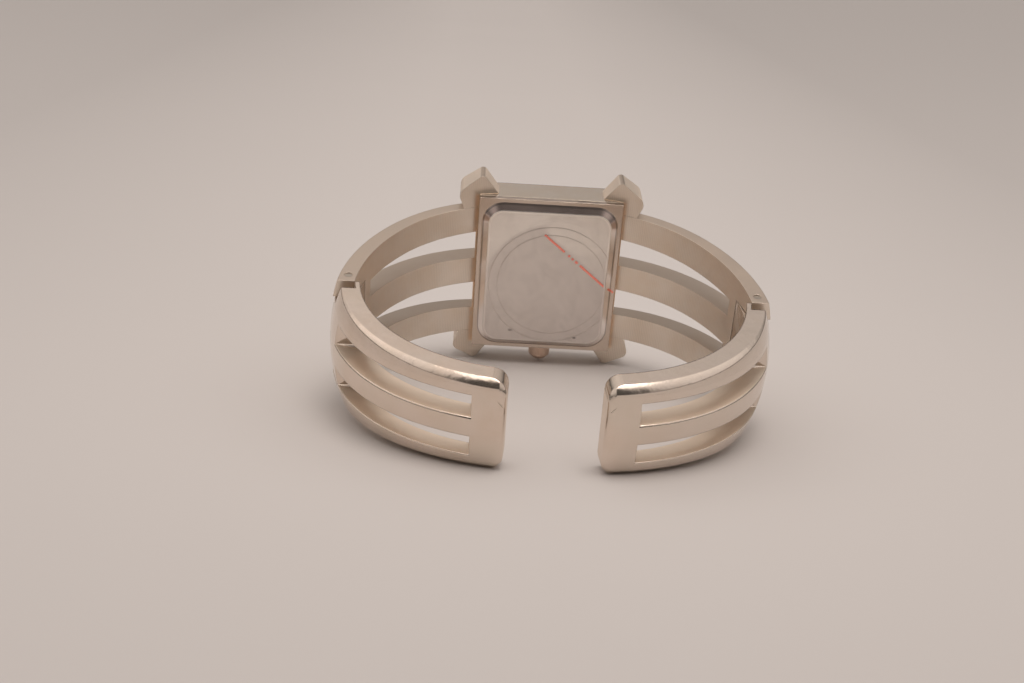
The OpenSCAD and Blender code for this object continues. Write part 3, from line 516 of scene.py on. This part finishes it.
def dial_matter(name):
    """Pale dial brushed in rays from its middle."""
    m = Mat(name)
    x, _, z = m.xyz()
    angle = m.math("ARCTAN2", z, x)
    fine = m.noise(3200.0, 2.0, 0.5)
    rays = m.wave(m.times(angle, RAYS))
    tint = m.mix(m.times(rays, 0.5), (0.92, 0.90, 0.86), (0.82, 0.80, 0.76))
    m.shader(tint, 0.15, m.ramp(fine, 0.3, 0.7, 0.30, 0.42), m.bump(rays, 0.05, 0.00003))
    return m.m


wing_mat = lined("nickel_lined", NICKEL, NICKEL_WARM, 0.30, 0.42, 0.00034)
arm_mat = arm_metal("nickel_polished")
case_mat = plated("nickel_case", shade(NICKEL, 1.03), shade(NICKEL_WARM, 1.03), 0.16, 0.23, scratch=0.4,
                  edge=0.00014)
crown_mat = plated("rose_crown", (0.80, 0.64, 0.53), (0.74, 0.57, 0.46), 0.28, 0.36, scratch=0.4,
                   edge=0.00008)
brass_mat = turned("gilt_brass", (0.72, 0.52, 0.22), 0.24)
steel_mat = turned("ground_steel", (0.52, 0.51, 0.50), 0.24, flat_axis="z")
plate_mat = turned("grained_plate", (0.62, 0.59, 0.54), 0.30, 2600.0, "z")
cell_mat = turned("cell_steel", (0.62, 0.62, 0.63), 0.22)
iron_mat = turned("soft_iron", (0.46, 0.47, 0.49), 0.34)
magnet_mat = turned("magnet_grey", (0.26, 0.26, 0.28), 0.38)
screw_mat = turned("screw_steel", (0.46, 0.49, 0.56), 0.18)
wire_mat = turned("spring_wire", (0.42, 0.42, 0.44), 0.26, 5000.0, "z")
pin_mat = plated("pin_steel", (0.64, 0.58, 0.51), (0.54, 0.48, 0.41), 0.28, 0.38, edge=0.00003)
rubber_mat = moulded("black_rubber", (0.020, 0.020, 0.020), 0.55, strength=0.3)
nylon_mat = moulded("white_nylon", (0.78, 0.77, 0.73), 0.40)
holder_mat = moulded("white_holder", (0.76, 0.75, 0.72), 0.46)
hand_mat = moulded("black_hand", (0.025, 0.025, 0.030), 0.24, 0.3, Coat_Weight=0.4)

dress = {
    "left_wing": wing_mat, "right_wing": wing_mat,
    "left_arm": arm_mat, "right_arm": arm_mat,
    "case_body": case_mat, "case_back": back_metal("back_steel"),
    "crown": crown_mat,
    "protective_film": film_matter("striped_film"),
    "crystal": glass_matter("crystal_glass"), "crystal_gasket": nylon_mat,
    "back_gasket": rubber_mat, "crown_gasket": rubber_mat,
    "dial": dial_matter("silver_dial"),
    "hour_markers": turned("bright_marker", (0.70, 0.70, 0.70), 0.12),
    "hour_hand": hand_mat, "minute_hand": hand_mat,
    "hour_wheel": brass_mat, "cannon_pinion": brass_mat, "minute_wheel": brass_mat,
    "centre_wheel": brass_mat, "intermediate_wheel": brass_mat, "battery_clamp": brass_mat,
    "rotor": magnet_mat, "stator": iron_mat, "coil_core": iron_mat,
    "coil": wound_matter("copper_winding"),
    "circuit_board": board_matter("green_board"), "quartz_can": cell_mat, "battery": cell_mat,
    "movement_holder": holder_mat, "main_plate": plate_mat, "train_bridge": plate_mat,
    "bridge_screws": screw_mat, "stem": steel_mat, "setting_pinion": steel_mat,
    "left_hinge_pin": pin_mat, "right_hinge_pin": pin_mat,
    "left_hinge_spring": wire_mat, "right_hinge_spring": wire_mat,
}
for name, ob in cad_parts.items():
    ob.data.materials.clear()
    ob.data.materials.append(dress[name])

# camera, as fitted to the photo: its angles in radians, its place in mm from the watch's own
# origin, and its focal length in pixels of the photo
EL = 0.504525
AZ = 0.0396
ROLL = 0.072345
TX = 5.303
TY = 1.272
DIST = 199.185
F_PX = 1386.668
PHOTO_WIDTH = 1024.0
SENSOR = 36.0
r = Vector((math.cos(AZ), -math.sin(AZ), 0.0))
u = Vector((math.sin(AZ) * math.sin(EL), math.cos(AZ) * math.sin(EL), math.cos(EL)))
f = Vector((math.sin(AZ) * math.cos(EL), math.cos(AZ) * math.cos(EL), -math.sin(EL)))
right = r * math.cos(ROLL) + u * math.sin(ROLL)
up = -r * math.sin(ROLL) + u * math.cos(ROLL)
where = (right * -TX + up * -TY + f * -DIST) + Vector((0.0, SHIFT_Y, 0.0))
cam_data = bpy.data.cameras.new("camera")
cam_data.sensor_width = SENSOR
cam_data.lens = F_PX / PHOTO_WIDTH * SENSOR
cam_data.clip_start = 0.01
cam_data.clip_end = 20.0
cam = bpy.data.objects.new("camera", cam_data)
bpy.context.scene.collection.objects.link(cam)
turn = Matrix((right, up, -f)).transposed()
cam.matrix_world = Matrix.Translation(where * MM) @ turn.to_4x4()
bpy.context.scene.camera = cam

# stage
# the floor touches the arms' lower edges and passes 0.2 mm under the lower lugs
LUG = Vector((0.0, 20.0 + SHIFT_Y, -15.86)) * MM
TIP = Vector((0.0, -26.0 + SHIFT_Y, -6.5)) * MM
tilt = math.atan2(TIP.z - LUG.z, TIP.y - LUG.y)
FLOOR = (0.712, 0.680, 0.665)
FLOOR_RADIUS = 3.0


def floor_matter():
    """Pale paper with a faint grain."""
    m = Mat("paper")
    n = m.noise(7.0, 3.0, 0.5)
    g = m.noise(900.0, 3.0, 0.6)
    tint = m.mix(m.ramp(n, 0.3, 0.7, 0.0, 0.5), FLOOR, shade(FLOOR, 0.97))
    # the paper is lit less to the sides and in front of the watch
    x, y = m.xyz()[:2]
    away = m.length(x, m.math("MINIMUM", y, 0.0))
    tint = m.mix(m.ramp(away, 0.03, 0.15, 0.0, 1.0), tint, shade(FLOOR, 0.815))
    m.shader(tint, 0.0, 0.85, m.bump(g, 0.03, 0.0001))
    return m.m


bm = bmesh.new()
bmesh.ops.create_circle(bm, cap_ends=True, radius=FLOOR_RADIUS, segments=96)
me = bpy.data.meshes.new("floor")
bm.to_mesh(me)
bm.free()
floor = bpy.data.objects.new("floor", me)
bpy.context.scene.collection.objects.link(floor)
# the tilt is taken from back to front, so half a turn more brings the floor's face up
floor.matrix_world = Matrix.Translation(LUG) @ Matrix.Rotation(math.pi + tilt, 4, "X")
me.materials.append(floor_matter())

# light
# a paper tent, open towards the camera: bright overhead, dark where the room shows
TENT = (1.10, 1.00, 0.93)
TABLE = (0.450, 0.395, 0.360)
UP = (0.0, 0.0, 1.0)
world = bpy.data.worlds.new("tent")
bpy.context.scene.world = world
world.use_nodes = True
wt = world.node_tree
wt.nodes.clear()


def w_node(kind, **props):
    n = wt.nodes.new(kind)
    for k, v in props.items():
        setattr(n, k, v)
    return n


direction = w_node("ShaderNodeTexCoord").outputs["Generated"]


def w_toward(axis, lo, hi, a, b):
    """From a to b as the direction nears an axis; lo and hi are cosines."""
    d = w_node("ShaderNodeVectorMath", operation="DOT_PRODUCT")
    wt.links.new(direction, d.inputs[0])
    d.inputs[1].default_value = Vector(axis).normalized()
    r = w_node("ShaderNodeMapRange", interpolation_type="SMOOTHSTEP")
    r.inputs["From Min"].default_value = lo
    r.inputs["From Max"].default_value = hi
    r.inputs["To Min"].default_value = a
    r.inputs["To Max"].default_value = b
    wt.links.new(d.outputs["Value"], r.inputs["Value"])
    return r.outputs["Result"]


def w_math(op, a, b):
    n = w_node("ShaderNodeMath", operation=op)
    wt.links.new(a, n.inputs[0])
    wt.links.new(b, n.inputs[1])
    return n.outputs[0]


# the tent's side walls, both alike: from and to as cosines, then the two levels
SIDE = (0.78, 0.97, 0.0, 0.34)
dome = w_toward((0.0, 0.30, 0.95), 0.45, 0.95, 0.30, 0.55)
lamp_panel = w_toward((0.05, -0.12, 0.99), 0.90, 0.965, 0.0, 1.1)
sides = w_math("ADD", w_toward((1.0, 0.0, 1.1), *SIDE), w_toward((-1.0, 0.0, 1.1), *SIDE))
window = w_toward((-0.55, 0.62, 0.56), 0.70, 0.98, 0.0, 0.16)
room = w_toward((0.0, -0.80, 0.60), 0.80, 0.93, 1.0, 0.15)
level = w_math("ADD", w_math("ADD", dome, lamp_panel), w_math("ADD", sides, window))
level = w_math("MULTIPLY", level, room)
# the tent is dark near the horizon
low = w_toward(UP, 0.06, 0.40, 0.08, 1.0)
level = w_math("MULTIPLY", level, low)
tint_mul = w_node("ShaderNodeMix", data_type="RGBA", blend_type="MULTIPLY")
tint_mul.inputs["Factor"].default_value = 1.0
tint_mul.inputs[MIX_A].default_value = (*TENT, 1.0)
grey = w_node("ShaderNodeCombineXYZ")
for socket in grey.inputs:
    wt.links.new(level, socket)
wt.links.new(grey.outputs[0], tint_mul.inputs[MIX_B])
# below the horizon, past the edge of the tilted floor, the pale table goes on
above = w_node("ShaderNodeMix", data_type="RGBA")
wt.links.new(w_toward(UP, -0.030, -0.005, 0.0, 1.0), above.inputs["Factor"])
above.inputs[MIX_A].default_value = (*TABLE, 1.0)
wt.links.new(tint_mul.outputs[MIX_OUT], above.inputs[MIX_B])
bg = w_node("ShaderNodeBackground")
bg.inputs["Strength"].default_value = 1.0
wt.links.new(above.outputs[MIX_OUT], bg.inputs["Color"])
wt.links.new(bg.outputs[0], w_node("ShaderNodeOutputWorld").inputs["Surface"])

# one soft lamp over the watch, turned to its middle
LAMP_AT = Vector((0.06, 0.02, 0.64))
LAMP_SIZE = 0.30
LAMP_WATTS = 0.715
lamp_data = bpy.data.lights.new("top_soft", "AREA")
lamp_data.shape = "DISK"
lamp_data.size = LAMP_SIZE
lamp_data.energy = LAMP_WATTS
lamp_data.color = TENT
lamp = bpy.data.objects.new("top_soft", lamp_data)
bpy.context.scene.collection.objects.link(lamp)
lamp.location = LAMP_AT
lamp.rotation_mode = "QUATERNION"
lamp.rotation_quaternion = (-LAMP_AT).to_track_quat("-Z", "Y")

bpy.context.scene.view_settings.view_transform = "Standard"
